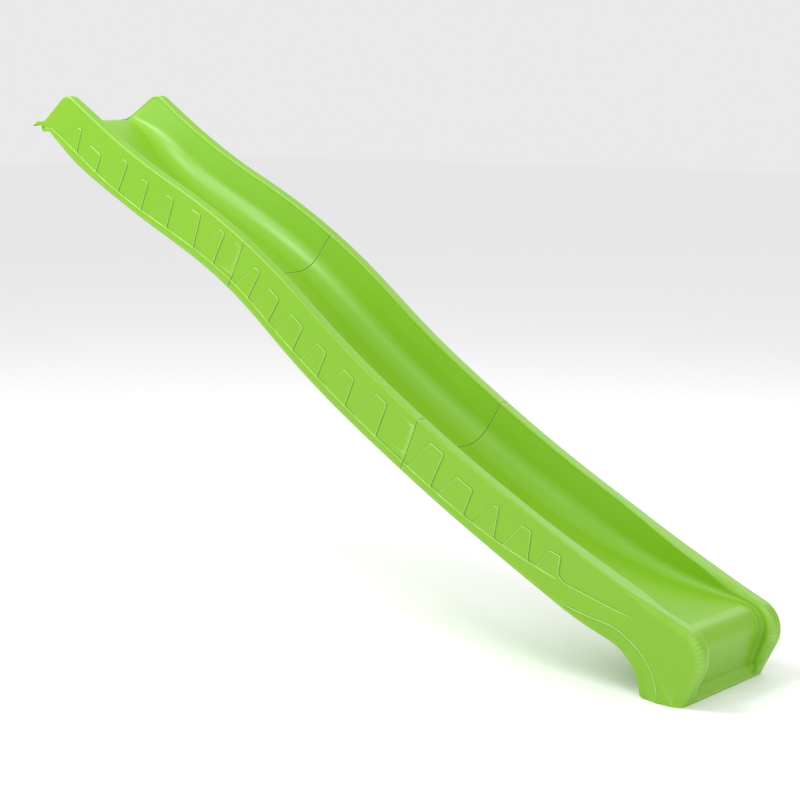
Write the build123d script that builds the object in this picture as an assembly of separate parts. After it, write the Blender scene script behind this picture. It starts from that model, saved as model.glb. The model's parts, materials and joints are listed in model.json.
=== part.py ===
from build123d import *
import os

# A garden slide in three hollow, double-walled plastic sections that bolt end to end.
# Its lip hooks on the edge of a raised deck and its two feet stand on the ground.
# While it is drawn, x runs downhill from the deck's edge, y runs across and z is the height.

# Driving dimensions, in millimetres
DECK_HEIGHT = 1500.0
OVERALL_WIDTH = 440.0
CHUTE_WIDTH = 320.0          # between the side walls, down at the floor
SKIN = 3.4                   # thickness of the plastic skin all round
FLOOR_THICKNESS = 20.0       # from the chute's surface to its underside
RAIL_WIDTH = 66.0            # of each side rail, under the floor
RELIEF = 3.0                 # how far the pads and the bottom strip stand out
NOSE_RADIUS = 85.0
PEAK_RADIUS = 45.0
OUTER_RIM_RADIUS = 5.0
SECTION_GAP = 0.4            # between the end faces of two sections
LIP_LENGTH = 48.0
LIP_BEVEL = 20.0
LIP_THICKNESS = 15.5

HALF_WIDTH = OVERALL_WIDTH / 2
SIDE_FACE = HALF_WIDTH - RELIEF
HALF_CHUTE = CHUTE_WIDTH / 2
HALF_UNDERSIDE = HALF_WIDTH - RAIL_WIDTH
LIP_TOP = DECK_HEIGHT + LIP_THICKNESS
NOSE_TIP_X = 2589.4
MIDDLE_X = (NOSE_TIP_X - LIP_LENGTH) / 2

# The slide's lines as seen from the side, as (x, z) points of smooth curves
RIM_LINE = [(124, 1609), (300, 1495.5), (500, 1383.5), (700, 1289), (900, 1181), (1100, 1048.5),
            (1300, 896), (1500, 759.5), (1700, 636), (1900, 523), (2100, 419), (2300, 318),
            (2500, 230), (2621, 178)]
FLOOR_LINE = [(30, 1515), (110, 1478), (300, 1343), (500, 1235), (700, 1142), (900, 1027), (1100, 877),
              (1300, 730), (1500, 602), (1700, 485), (1900, 381), (2100, 296), (2300, 237), (2480, 210)]
BEAD_LINE = [(48, 1497), (110, 1458), (300, 1335), (500, 1231), (700, 1139), (900, 1026), (1100, 872),
             (1300, 727), (1500, 597), (1700, 479), (1900, 376), (2133, 290)]
LOWER_LINE = [(38, 1481), (105, 1420), (300, 1299), (500, 1197), (700, 1102), (900, 984), (1100, 829),
              (1300, 685), (1500, 559), (1700, 441), (1900, 332), (2100, 228), (2264, 152)]
STEP_LINE = [(2133, 290), (2271, 252), (2386, 224), (2500, 209)]
BAND_LINE = [(2116, 219), (2207, 206), (2272, 195), (2319, 184), (2365, 159), (2411, 121), (2440, 79),
             (2452, 42), (2456, 0)]
STRIP_START = (0, 1499)
STRIP_TOE = (2548, 40)
HEEL = (2389, 16)
HEEL_RADIUS = 16.0
TOE = (2531, 0)

# The roll at the chute's end, and the panel and flange under it
ROLL = [(2495, 208), (2539, 185), (2552, 138)]
PANEL_FOOT = (2524, 40)
FLANGE_TOP = (2541, 34)
FLANGE_FOOT = (2523, 0)
PANEL_THICKNESS = 24.0

# The chute's U-shaped section
TROUGH_STATIONS = [-60, 0, 30, 70, 110, 200, 300, 400, 500, 600, 700, 800, 900, 1000, 1100, 1200, 1300,
                   1400, 1500, 1600, 1700, 1800, 1900, 2000, 2100, 2200, 2300, 2400, 2480]
TROUGH_RADIUS = 100.0
LAST_TROUGH_RADIUS = 14.0
CORNERS_SHRINK_FROM = 1900.0
WALL_DRAFT = 0.04
TOOL_HEIGHT = 420.0          # more than any wall stands over the floor
CLEAR = 60.0                 # how far a cutting shape runs past what it cuts

# Raised pads on the outer walls: start along the bead line, foot length, lean of the
# upper side's start, upper side's length and height
PADS = [(75, 75, 38, 18, 76), (171, 90, 20, 62, 60), (296, 86, 54, 33, 106), (411, 90, 50, 38, 93),
        (535, 96, 54, 36, 98), (653, 110, 53, 44, 108), (790, 72, 42, 30, 111),
        (971, 70, 36, 28, 98), (1065, 84, 22, 55, 85), (1183, 94, 18, 68, 85),
        (1314, 86, 24, 50, 85), (1441, 94, 26, 54, 90), (1579, 100, 32, 52, 109),
        (1817, 104, 36, 62, 112), (1949, 110, 34, 72, 84), (2094, 86, 44, 22, 89),
        (2212, 96, 36, 42, 85), (2334, 98, 26, 46, 65)]
PAD_CORNER_RADIUS = 11.0
PAD_FOOT = 6.0               # how far a pad reaches down into the bottom strip

# Where the sections meet: a plane leaning downhill, through a point on the lower line and
# one on the rim. Above each seam the wall is set back in a pocket, after the last pad.
UPPER_SEAM = [(861, 1005), (936, 1160)]
LOWER_SEAM = [(1561, 522), (1628, 681)]
UPPER_POCKET_START = 872.0
LOWER_POCKET_START = 1688.0
POCKET_LOW = 0.30            # the pocket's lowest and highest edges, as shares of the seam
POCKET_HIGH = 0.84

# Set-backs when the same outline bounds the cavity, as multiples of the skin
RIM_INSET = 2.2
NOSE_INSET = 4.0
BACK_INSET = 3.0

# Hardware
BOLT_ROWS = (-125.0, -45.0, 45.0, 125.0)
BOLT_DIAMETER = 8.0
BOLT_HOLE = 8.6
BOLT_DROP = 31.5             # from the chute's surface down to the bolts
BOLT_HEAD_FLATS = 13.0
BOLT_HEAD_HEIGHT = 5.3
BOLT_LENGTH = 35.0
PLATE = 12.0                 # solid plate at each end of a section
PLATE_RECESS = 3.0           # how far the plates stay above the rails' lower edges
WASHER_HOLE = 8.4
WASHER_DIAMETER = 16.0
WASHER_THICKNESS = 1.6
NUT_HEX_HEIGHT = 6.5
NUT_HEIGHT = 13.0
DECK_SCREW_ROWS = (-150.0, 0.0, 150.0)
DECK_SCREW_X = -13.0
DECK_SCREW_HOLE = 6.6
DECK_SCREW_DIAMETER = 6.0
DECK_SCREW_LENGTH = 50.0
DECK_HEAD_DIAMETER = 12.0
DECK_HEAD_HEIGHT = 3.6
DECK_WASHER_DIAMETER = 18.0


def raised(points, height):
    """The same line moved straight up."""
    return [(x, z + height) for x, z in points]


def side_point(point):
    """A point of the side view, in the slide's middle plane."""
    return Vector(point[0], 0, point[1])


def smooth(points):
    """A smooth curve through points of the side view."""
    return Edge.make_spline([side_point(p) for p in points])


def straight(*points):
    """Straight edges between points of the side view."""
    ends = [side_point(p) for p in points]
    return [Edge.make_line(a, b) for a, b in zip(ends, ends[1:])]


def across(edges, near, far):
    """A solid whose side view has these edges, from y = near to y = far."""
    face = Face(Wire(edges))
    return extrude(face.moved(Location((0, near, 0))), far - near, dir=(0, 1, 0))


def on_both_sides(edges, inner, outer):
    """The same side view as a plate on the left wall and one on the right."""
    return [across(edges, -outer, -inner), across(edges, inner, outer)]


def height_on(points, x):
    """The height of a smooth line at x."""
    curve = smooth(points)
    low, high = 0.0, 1.0
    for _ in range(40):
        middle = (low + high) / 2
        if (curve @ middle).X < x:
            low = middle
        else:
            high = middle
    return (curve @ low).Z


def arch_edge(lower):
    """The arch behind the foot, from the end of the lower line to the heel."""
    return Edge.make_tangent_arc(side_point(lower[-1]), smooth(lower) % 1, side_point(HEEL))


def heel_edge():
    """The round at the back of the foot, down to the ground."""
    middle = (HEEL[0] + 0.3 * HEEL_RADIUS, 0.3 * HEEL_RADIUS)
    end = (HEEL[0] + HEEL_RADIUS, 0)
    return Edge.make_three_point_arc(side_point(HEEL), side_point(middle), side_point(end))


def wall_block():
    """The outer block of the slide, whose side view is that of a side wall."""
    block = straight(LOWER_LINE[0], (0, LOWER_LINE[0][1]), (0, LIP_TOP), (4, LIP_TOP), RIM_LINE[0])
    foot = straight(RIM_LINE[-1], TOE, (HEEL[0] + HEEL_RADIUS, 0))
    edges = [smooth(RIM_LINE), smooth(LOWER_LINE), arch_edge(LOWER_LINE), heel_edge()] + block + foot
    solid = across(edges, -SIDE_FACE, SIDE_FACE)
    solid = fillet(edges_across_at(solid, RIM_LINE[-1]), NOSE_RADIUS)
    solid = fillet(edges_across_at(solid, RIM_LINE[0]), PEAK_RADIUS)
    sides = [e for e in solid.edges() if abs(abs(e.center().Y) - SIDE_FACE) < 0.1]
    upper = [e for e in sides if e.center().Z > height_on(FLOOR_LINE, min(max(e.center().X, 30), 2480)) + 20]
    return fillet(upper, OUTER_RIM_RADIUS)


def edges_across_at(solid, corner):
    """The edge that runs across the solid at a corner of its side view."""
    return [e for e in solid.edges() if (e.center() - side_point(corner)).length < 1 and e.length > SIDE_FACE]


def lip():
    """The lip that lies on the deck, bevelled at its end as a threshold."""
    edges = straight((-LIP_LENGTH, DECK_HEIGHT), (LIP_BEVEL - LIP_LENGTH, LIP_TOP), (RAIL_WIDTH, LIP_TOP),
                     (RAIL_WIDTH / 2, DECK_HEIGHT), (-LIP_LENGTH, DECK_HEIGHT))
    return across(edges, -SIDE_FACE, SIDE_FACE)


def strips():
    """The raised strip along the bottom of each wall, which widens into the foot."""
    block_end = straight(LOWER_LINE[0], (0, LOWER_LINE[0][1]), STRIP_START, BEAD_LINE[0])
    toe = straight(STEP_LINE[-1], STRIP_TOE, TOE, (HEEL[0] + HEEL_RADIUS, 0))
    edges = [smooth(BEAD_LINE), smooth(STEP_LINE), smooth(LOWER_LINE), arch_edge(LOWER_LINE), heel_edge()]
    return on_both_sides(edges + block_end + toe, SIDE_FACE - 1, HALF_WIDTH)


def foot_bands():
    """What is cut from the outer faces along the arch behind each foot."""
    end = BAND_LINE[-1]
    below = straight(end, (end[0], -CLEAR), (BAND_LINE[0][0], -CLEAR), BAND_LINE[0])
    return on_both_sides([smooth(BAND_LINE)] + below, SIDE_FACE - 1, HALF_WIDTH + 1)


def beside_bead(distance, height):
    """The point at a distance along the bead line and a height square to it."""
    bead = smooth(BEAD_LINE)
    foot = bead.position_at(distance, position_mode=PositionMode.LENGTH)
    along = bead.tangent_at(distance, position_mode=PositionMode.LENGTH)
    return (foot.X - along.Z * height, foot.Z + along.X * height)


def plate_outline(corners, radius):
    """A flat outline through four corners, with its two upper corners rounded."""
    points = [side_point(c) for c in corners]
    face = Face(Wire.make_polygon(points))
    rounded = [v for v in face.vertices() if min((Vector(v) - p).length for p in points[1:3]) < 0.1]
    return list(face.fillet_2d(radius, rounded).outer_wire().edges())


def pads():
    """The raised pads on both outer walls."""
    solids = []
    for start, foot, lean, upper, height in PADS:
        corners = [beside_bead(start, -PAD_FOOT), beside_bead(start + lean, height),
                   beside_bead(start + lean + upper, height), beside_bead(start + foot, -PAD_FOOT)]
        radius = min(PAD_CORNER_RADIUS, 0.45 * upper)
        solids += on_both_sides(plate_outline(corners, radius), SIDE_FACE - 1, HALF_WIDTH)
    return solids


def along_seam(seam, share, back):
    """A point at a share of a seam's length, set back uphill from it."""
    low, high = seam
    return (low[0] + share * (high[0] - low[0]) - back, low[1] + share * (high[1] - low[1]))


def pockets():
    """What is cut from the outer walls just uphill of each seam."""
    solids = []
    for seam, start in ((UPPER_SEAM, UPPER_POCKET_START), (LOWER_SEAM, LOWER_POCKET_START)):
        corners = [beside_bead(start, 5), beside_bead(start + 22, 112),
                   along_seam(seam, POCKET_HIGH, 2), along_seam(seam, POCKET_LOW, 2)]
        solids += on_both_sides(plate_outline(corners, 9), SIDE_FACE - RELIEF + 0.5, HALF_WIDTH + 1)
    return solids


def trough_section(x, grow):
    """The chute's hollow where an upright plane cuts it: a U with big round corners."""
    floor = (LIP_TOP if x <= FLOOR_LINE[0][0] else height_on(FLOOR_LINE, x)) - grow
    run = TROUGH_STATIONS[-1] - CORNERS_SHRINK_FROM
    share = max((x - CORNERS_SHRINK_FROM) / run, 0.0)
    radius = TROUGH_RADIUS + (LAST_TROUGH_RADIUS - TROUGH_RADIUS) * share + grow
    foot = HALF_CHUTE + grow
    top = foot + WALL_DRAFT * TOOL_HEIGHT
    corners = [(-foot, 0), (foot, 0), (top, TOOL_HEIGHT), (-top, TOOL_HEIGHT)]
    face = Face(Wire.make_polygon([Vector(x, y, floor + z) for y, z in corners]))
    bottom = [v for v in face.vertices() if v.Z < floor + 1]
    return face.fillet_2d(radius, bottom).outer_wire()


def trough(grow=0.0):
    """The space over the chute's floor, between the side walls."""
    return Solid.make_loft([trough_section(x, grow) for x in TROUGH_STATIONS])


def exit_recess(grow=0.0):
    """The space in front of the roll at the chute's end, over the panel and flange."""
    roll = [(x - grow, z - grow) for x, z in ROLL]
    panel = [(x - grow, z) for x, z in (PANEL_FOOT, FLANGE_TOP, FLANGE_FOOT)]
    start = (TROUGH_STATIONS[-1], FLOOR_LINE[-1][1] - grow)
    far_x = RIM_LINE[-1][0] + CLEAR
    front = straight(roll[-1], *panel, (panel[-1][0], -CLEAR), (far_x, -CLEAR), (far_x, TOOL_HEIGHT),
                     (start[0], TOOL_HEIGHT), start, roll[0])
    arc = Edge.make_three_point_arc(*[side_point(p) for p in roll])
    return across([arc] + front, -HALF_CHUTE - 1 - grow, HALF_CHUTE + 1 + grow)


def underside_space(grow=0.0):
    """The space under the floor, between the two side rails and behind the end panel."""
    floor = raised(FLOOR_LINE, grow - FLOOR_THICKNESS)
    panel_back = [(x - PANEL_THICKNESS + grow, z) for x, z in (ROLL[-1], PANEL_FOOT)]
    start_x = PLATE - grow
    edges = straight(floor[-1], *panel_back, (panel_back[-1][0], -CLEAR), (start_x, -CLEAR),
                     (start_x, floor[0][1]), floor[0])
    return across([smooth(floor)] + edges, -HALF_UNDERSIDE - grow, HALF_UNDERSIDE + grow)


def seam_frame(seam, height=0.0):
    """The plane of a seam: its normal runs downhill, its origin is on the lower line."""
    low, high = [side_point(p) for p in seam]
    up = (high - low).normalized()
    return Plane(origin=low + up * height, x_dir=(0, 1, 0), z_dir=Vector(0, 1, 0).cross(up))


def seam_slab(seam, thickness):
    """A slab along a seam, half its thickness on each side."""
    return seam_frame(seam) * Box(2 * OVERALL_WIDTH, 3 * OVERALL_WIDTH, thickness)


def end_plates():
    """The solid plates under the floor at both seams, which the bolts pull together."""
    top = raised(FLOOR_LINE[:-1], 1 - FLOOR_THICKNESS)
    bottom = raised(LOWER_LINE[:-1], PLATE_RECESS)
    sides = straight(top[0], bottom[0]) + straight(top[-1], bottom[-1])
    web = across([smooth(top), smooth(bottom)] + sides, -HALF_UNDERSIDE - 1, HALF_UNDERSIDE + 1)
    return [web & seam_slab(seam, 2 * PLATE) for seam in (UPPER_SEAM, LOWER_SEAM)]


def cavity():
    """The sealed space inside the double wall, one skin in from every outer surface."""
    rim = raised(RIM_LINE, -RIM_INSET * SKIN)
    rim[-1] = (RIM_LINE[-1][0] - NOSE_RADIUS * 0.7, rim[-1][1])
    lower = raised(LOWER_LINE, SKIN)
    back_x = BACK_INSET * SKIN
    toe = (TOE[0] - NOSE_INSET * SKIN, SKIN)
    back = straight(lower[0], (back_x, lower[0][1]), (back_x, LIP_TOP - SKIN), (2 * back_x, LIP_TOP), rim[0])
    foot = straight(rim[-1], toe, (HEEL[0] + HEEL_RADIUS, SKIN), (HEEL[0] + SKIN, HEEL[1]),
                    (HEEL[0] + SKIN, 2 * HEEL[1]))
    arch = Edge.make_tangent_arc(side_point(lower[-1]), smooth(lower) % 1,
                                 side_point((HEEL[0] + SKIN, 2 * HEEL[1])))
    edges = [smooth(rim), smooth(lower), arch] + back + foot
    space = across(edges, SKIN - SIDE_FACE + RELIEF, SIDE_FACE - SKIN - RELIEF)
    space -= trough(SKIN)
    space -= exit_recess(SKIN)
    space -= underside_space(SKIN)
    for seam in (UPPER_SEAM, LOWER_SEAM):
        space -= seam_slab(seam, 2 * PLATE)
    return space


def seam_bolt_places(seam):
    """A plane at each bolt of a seam, in the middle of the joint, its normal downhill."""
    low, high = [side_point(p) for p in seam]
    up = (high - low).normalized()
    height = 0.0
    while height_on(FLOOR_LINE, (low + up * height).X) - (low + up * height).Z > BOLT_DROP:
        height += 0.25
    frame = seam_frame(seam, height)
    return [frame * Location((y, 0, 0)) for y in BOLT_ROWS]


def ring(outer, inner, thickness):
    """A washer that starts at its own plane and grows along the normal."""
    disc = Cylinder(outer / 2, thickness, align=(Align.CENTER, Align.CENTER, Align.MIN))
    return disc - Cylinder(inner / 2, 3 * thickness)


def hex_prism(flats, height):
    """A hexagonal head that grows along the normal, with its outer corners eased."""
    prism = extrude(RegularPolygon(flats / 2, 6, major_radius=False), height)
    eased = Cylinder(flats * 0.57, height, align=(Align.CENTER, Align.CENTER, Align.MIN))
    eased = chamfer(eased.edges().sort_by(Axis.Z)[-1], 0.9)
    return prism & eased


def bolt():
    """A hexagon bolt, with the underside of its head at z = 0 and its shank down to -z."""
    shank = Cylinder(BOLT_DIAMETER / 2, BOLT_LENGTH, align=(Align.CENTER, Align.CENTER, Align.MAX))
    shank = chamfer(shank.edges().sort_by(Axis.Z)[0], 0.8)
    return shank + hex_prism(BOLT_HEAD_FLATS, BOLT_HEAD_HEIGHT)


def cap_nut():
    """A domed nut that covers the bolt's end, standing on z = 0."""
    dome_radius = BOLT_HEAD_FLATS / 2 - 0.4
    dome = Cylinder(dome_radius, NUT_HEIGHT, align=(Align.CENTER, Align.CENTER, Align.MIN))
    dome = fillet(dome.edges().sort_by(Axis.Z)[-1], dome_radius - 0.5)
    hole_depth = BOLT_LENGTH - 2 * PLATE - SECTION_GAP - 2 * WASHER_THICKNESS + 0.5
    hole = Cylinder(BOLT_DIAMETER / 2, hole_depth, align=(Align.CENTER, Align.CENTER, Align.MIN))
    return hex_prism(BOLT_HEAD_FLATS, NUT_HEX_HEIGHT) + dome - hole


def deck_screw():
    """A round-headed wood screw with a hexagon socket, the underside of its head at z = 0."""
    head = Cylinder(DECK_HEAD_DIAMETER / 2, DECK_HEAD_HEIGHT, align=(Align.CENTER, Align.CENTER, Align.MIN))
    head = fillet(head.edges().sort_by(Axis.Z)[-1], DECK_HEAD_HEIGHT * 0.8)
    point_length = DECK_SCREW_DIAMETER * 1.3
    shank = Cylinder(DECK_SCREW_DIAMETER / 2, DECK_SCREW_LENGTH - point_length,
                     align=(Align.CENTER, Align.CENTER, Align.MAX))
    point = Location((0, 0, point_length - DECK_SCREW_LENGTH)) * Cone(
        0.3, DECK_SCREW_DIAMETER / 2, point_length, align=(Align.CENTER, Align.CENTER, Align.MAX))
    socket = Location((0, 0, DECK_HEAD_HEIGHT)) * extrude(
        RegularPolygon(2.0, 6, major_radius=False), -DECK_HEAD_HEIGHT * 0.55)
    return head + shank + point - socket


def make_sections():
    """The three plastic sections, from the deck down to the ground."""
    slide = wall_block() + lip()
    slide += strips()
    slide -= trough()
    slide -= exit_recess()
    slide -= underside_space()
    slide += end_plates()
    slide += pads()
    slide -= pockets()
    slide -= foot_bands()
    slide -= cavity()
    for seam in (UPPER_SEAM, LOWER_SEAM):
        slide -= seam_slab(seam, SECTION_GAP)
        for place in seam_bolt_places(seam):
            slide -= place * Cylinder(BOLT_HOLE / 2, 3 * PLATE)
    for y in DECK_SCREW_ROWS:
        slide -= Location((DECK_SCREW_X, y, LIP_TOP)) * Cylinder(DECK_SCREW_HOLE / 2, 4 * LIP_THICKNESS)
    return slide.solids().sort_by(Axis.X)


def make_hardware():
    """Every bolt, washer, nut and screw, grouped by name."""
    groups = {}
    half_joint = PLATE + SECTION_GAP / 2
    turned = Location((0, 0, 0), (180, 0, 0))
    for name, seam in (("upper_joint", UPPER_SEAM), ("lower_joint", LOWER_SEAM)):
        places = seam_bolt_places(seam)
        above = half_joint + WASHER_THICKNESS
        washer = ring(WASHER_DIAMETER, WASHER_HOLE, WASHER_THICKNESS)
        groups[name + "_bolts"] = [p * turned * Location((0, 0, above)) * bolt() for p in places]
        groups[name + "_head_washers"] = [p * turned * Location((0, 0, half_joint)) * washer for p in places]
        groups[name + "_nut_washers"] = [p * Location((0, 0, half_joint)) * washer for p in places]
        groups[name + "_cap_nuts"] = [p * Location((0, 0, above)) * cap_nut() for p in places]
    deck_places = [Location((DECK_SCREW_X, y, LIP_TOP)) for y in DECK_SCREW_ROWS]
    deck_washer = ring(DECK_WASHER_DIAMETER, DECK_SCREW_HOLE, WASHER_THICKNESS)
    groups["deck_screws"] = [p * Location((0, 0, WASHER_THICKNESS)) * deck_screw() for p in deck_places]
    groups["deck_screw_washers"] = [p * deck_washer for p in deck_places]
    return groups


def main():
    """Write one file per piece, with the origin on the ground under the slide's middle."""
    os.makedirs("parts", exist_ok=True)
    to_origin = Location((-MIDDLE_X, 0, 0))
    sections = make_sections()
    for name, solid in zip(("top_section", "middle_section", "bottom_section"), sections):
        export_step(to_origin * solid, f"parts/{name}.step")
    for name, solids in make_hardware().items():
        export_step(Compound([to_origin * s for s in solids]), f"parts/{name}.step")


main()
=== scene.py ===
"""A straight, wavy garden slide: three hollow plastic sections, bolted end to end under the floor.

Sizes are in millimetres in the slide's own lines: x from the deck's edge downhill, z from the ground and
y across from the middle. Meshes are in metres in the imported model's frame.
"""
from __future__ import annotations

import json
import logging
import math
from dataclasses import dataclass, field
from enum import Enum

import bmesh
import bpy
import numpy as np
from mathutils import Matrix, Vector

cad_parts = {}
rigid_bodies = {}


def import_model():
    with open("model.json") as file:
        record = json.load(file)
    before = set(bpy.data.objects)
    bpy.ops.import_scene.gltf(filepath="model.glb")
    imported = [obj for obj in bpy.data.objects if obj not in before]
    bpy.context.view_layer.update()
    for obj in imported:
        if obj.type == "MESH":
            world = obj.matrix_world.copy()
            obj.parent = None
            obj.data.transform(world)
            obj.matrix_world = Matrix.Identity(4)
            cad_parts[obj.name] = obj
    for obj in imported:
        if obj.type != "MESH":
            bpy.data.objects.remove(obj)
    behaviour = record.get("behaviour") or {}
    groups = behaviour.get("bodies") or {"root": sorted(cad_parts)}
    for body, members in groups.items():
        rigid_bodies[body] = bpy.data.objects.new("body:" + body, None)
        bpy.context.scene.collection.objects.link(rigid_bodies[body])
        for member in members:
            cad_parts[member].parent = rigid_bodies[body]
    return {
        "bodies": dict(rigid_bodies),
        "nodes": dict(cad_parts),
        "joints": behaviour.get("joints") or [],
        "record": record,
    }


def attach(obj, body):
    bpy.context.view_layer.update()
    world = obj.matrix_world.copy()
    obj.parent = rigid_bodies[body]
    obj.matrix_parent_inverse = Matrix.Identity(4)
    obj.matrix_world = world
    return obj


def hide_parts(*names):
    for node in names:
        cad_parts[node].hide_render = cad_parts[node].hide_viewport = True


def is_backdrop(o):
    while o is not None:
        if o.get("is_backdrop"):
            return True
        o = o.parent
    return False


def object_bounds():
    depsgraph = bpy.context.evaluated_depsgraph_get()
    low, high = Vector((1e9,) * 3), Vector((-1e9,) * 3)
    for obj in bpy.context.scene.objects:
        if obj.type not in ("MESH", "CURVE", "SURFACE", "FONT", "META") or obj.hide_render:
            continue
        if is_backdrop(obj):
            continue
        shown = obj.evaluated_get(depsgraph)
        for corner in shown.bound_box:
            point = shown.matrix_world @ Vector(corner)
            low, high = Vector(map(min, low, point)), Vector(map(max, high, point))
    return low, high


Point = tuple[float, float]
Place = tuple[float, float, float]
Colour = tuple[float, float, float]
LOG = logging.getLogger("slide")
METRE = 1000.0
WELD = 2e-6
ON_MIDDLE = 1e-5
FLAT_FACE_VERTS = 5
BORDERED_FACE_VERTS = 9
TROUGH_COLUMNS = 24
SEAM_BLEND_ROWS = 12
SEAM_SETBACKS = (9.0, 18.0, 30.0)
SEAM_STEPS = [3, 5, 3]
FLOOR_SHARES = (0, 0.3, 0.55, 0.75, 0.88, 0.96)
LOWER_RIDGE_PROFILE = ((0.0, 0.0), (0.07, 0.8), (0.14, 1.0), (0.21, 0.7))
MIN_SQUARE = 0.35
RIB_PROFILE = (
    (5.6, 0.0), (4.4, -0.9), (3.2, -1.3), (2.0, -0.7), (0.8, 0.4), (-0.4, 0.4), (-1.8, -0.5), (-3.4, -1.7),
    (-4.8, -2.2))
RIB_FOOT_SHARES = (0.3, 0.6, 0.85, 1.0)
FLAT_BORDER = 0.0010
BEAD_PROFILE = (
    (-2.8, -1.0), (-3.2, 0.0), (-4.1, 0.45), (-4.9, 0.45), (-5.8, 0.0), (-6.2, -1.0), (-2.8, -1.0))
STEP_PROFILE = (
    (0.0, 0.0), (0.13, 0.0), (0.22, -0.13), (0.31, -0.04), (0.40, 0.45), (0.49, 1.0), (0.57, 1.19),
    (0.66, 1.19), (0.75, 1.02), (0.87, 1.0), (1.0, 1.0))


def straight(start: Point, end: Point, step: float = 4.0) -> np.ndarray:
    """Points along a straight line.

    Args:
        start: first point.
        end: last point.
        step: greatest spacing.

    Returns:
        The points, first and last included.
    """
    start, end = np.array(start, float), np.array(end, float)
    count = max(int(np.linalg.norm(end - start) / step), 1) + 1
    return start + np.linspace(0, 1, count)[:, None] * (end - start)


def smooth(knots: np.ndarray, step: float = 2.0) -> np.ndarray:
    """Points of the natural cubic spline through knots, by chord length.

    Args:
        knots: the points that the curve passes.
        step: spacing of the result.

    Returns:
        The curve's points.
    """
    knots = np.array(knots, float)
    at = np.concatenate([[0.0], np.cumsum(np.linalg.norm(np.diff(knots, axis=0), axis=1))])
    gap = np.diff(at)
    count = len(knots)
    system, load = np.zeros((count, count)), np.zeros((count, 2))
    system[0, 0] = system[-1, -1] = 1.0
    for i in range(1, count - 1):
        system[i, i - 1:i + 2] = gap[i - 1], 2 * (gap[i - 1] + gap[i]), gap[i]
        load[i] = 6 * ((knots[i + 1] - knots[i]) / gap[i] - (knots[i] - knots[i - 1]) / gap[i - 1])
    bend = np.linalg.solve(system, load)
    where = np.linspace(0, at[-1], int(at[-1] / step) + 2)
    left = np.clip(np.searchsorted(at, where, "right") - 1, 0, count - 2)
    a = ((at[left + 1] - where) / gap[left])[:, None]
    b = 1 - a
    curve = (a ** 3 - a) * bend[left] + (b ** 3 - b) * bend[left + 1]
    return a * knots[left] + b * knots[left + 1] + curve * (gap[left] ** 2)[:, None] / 6


def ease(share: np.ndarray) -> np.ndarray:
    """A soft step from 0 to 1."""
    share = np.clip(share, 0.0, 1.0)
    return share * share * (3 - 2 * share)


def between(start: float, end: float, share: np.ndarray) -> np.ndarray:
    """Values at a share of the way from start to end."""
    return start + (end - start) * share


def left_of(heading: np.ndarray) -> np.ndarray:
    """Vectors turned a quarter turn to the left."""
    return np.stack([-heading[..., 1], heading[..., 0]], axis=-1)


def legs(*corners: Point) -> list[np.ndarray]:
    """Straight rows of points from corner to corner."""
    return [straight(a, b) for a, b in zip(corners, corners[1:])]


@dataclass(frozen=True)
class Change:
    """A change from 0 to 1 that starts at a place and takes a length, which is negative to run back."""

    start: float
    length: float

    def share(self, place: np.ndarray) -> np.ndarray:
        """How far the change has come at these places, at an even rate."""
        return np.clip((place - self.start) / self.length, 0.0, 1.0)

    def at(self, place: np.ndarray) -> np.ndarray:
        """How far the change has come at these places, with soft ends."""
        return ease(self.share(place))


class SidePath:
    """A path in the side view, read by its length."""

    def __init__(self, points: np.ndarray) -> None:
        """Keeps the points and their distances along the path."""
        points = np.asarray(points, float)
        keep = np.concatenate([[True], np.linalg.norm(np.diff(points, axis=0), axis=1) > 1e-6])
        self.points = points[keep]
        steps = np.linalg.norm(np.diff(self.points, axis=0), axis=1)
        self.lengths = np.concatenate([[0.0], np.cumsum(steps)])
        self.length = float(self.lengths[-1])

    def at(self, where: np.ndarray) -> np.ndarray:
        """The points at these lengths."""
        return np.stack([np.interp(where, self.lengths, self.points[:, k]) for k in (0, 1)], axis=-1)

    def heading(self, where: np.ndarray, reach: float = 1.0) -> np.ndarray:
        """Unit vectors along the path at these lengths."""
        ahead = self.at(np.minimum(where + reach, self.length)) - self.at(np.maximum(where - reach, 0.0))
        return ahead / np.linalg.norm(ahead, axis=-1, keepdims=True)

    def near(self, point: Point) -> float:
        """The length at the path's nearest place to a point."""
        start, step = self.points[:-1], np.diff(self.points, axis=0)
        share = ((np.array(point) - start) * step).sum(1) / (step * step).sum(1)
        share = np.clip(share, 0, 1)
        gap = np.linalg.norm(start + share[:, None] * step - np.array(point), axis=1)
        best = int(gap.argmin())
        return float(self.lengths[best] + share[best] * np.linalg.norm(step[best]))

    def cross(self, line: "SeamLine") -> float:
        """The length at which the path first crosses a seam's line."""
        side = line.beyond(self.points)
        best = int(np.nonzero((side[:-1] < 0) & (side[1:] >= 0))[0][0])
        share = side[best] / (side[best] - side[best + 1])
        return float(self.lengths[best] + share * (self.lengths[best + 1] - self.lengths[best]))

    def part(self, start: float, end: float) -> np.ndarray:
        """The path's points between two lengths."""
        inside = self.points[(self.lengths > start + 1e-6) & (self.lengths < end - 1e-6)]
        return np.vstack([self.at(np.array([start])), inside, self.at(np.array([end]))])


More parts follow.
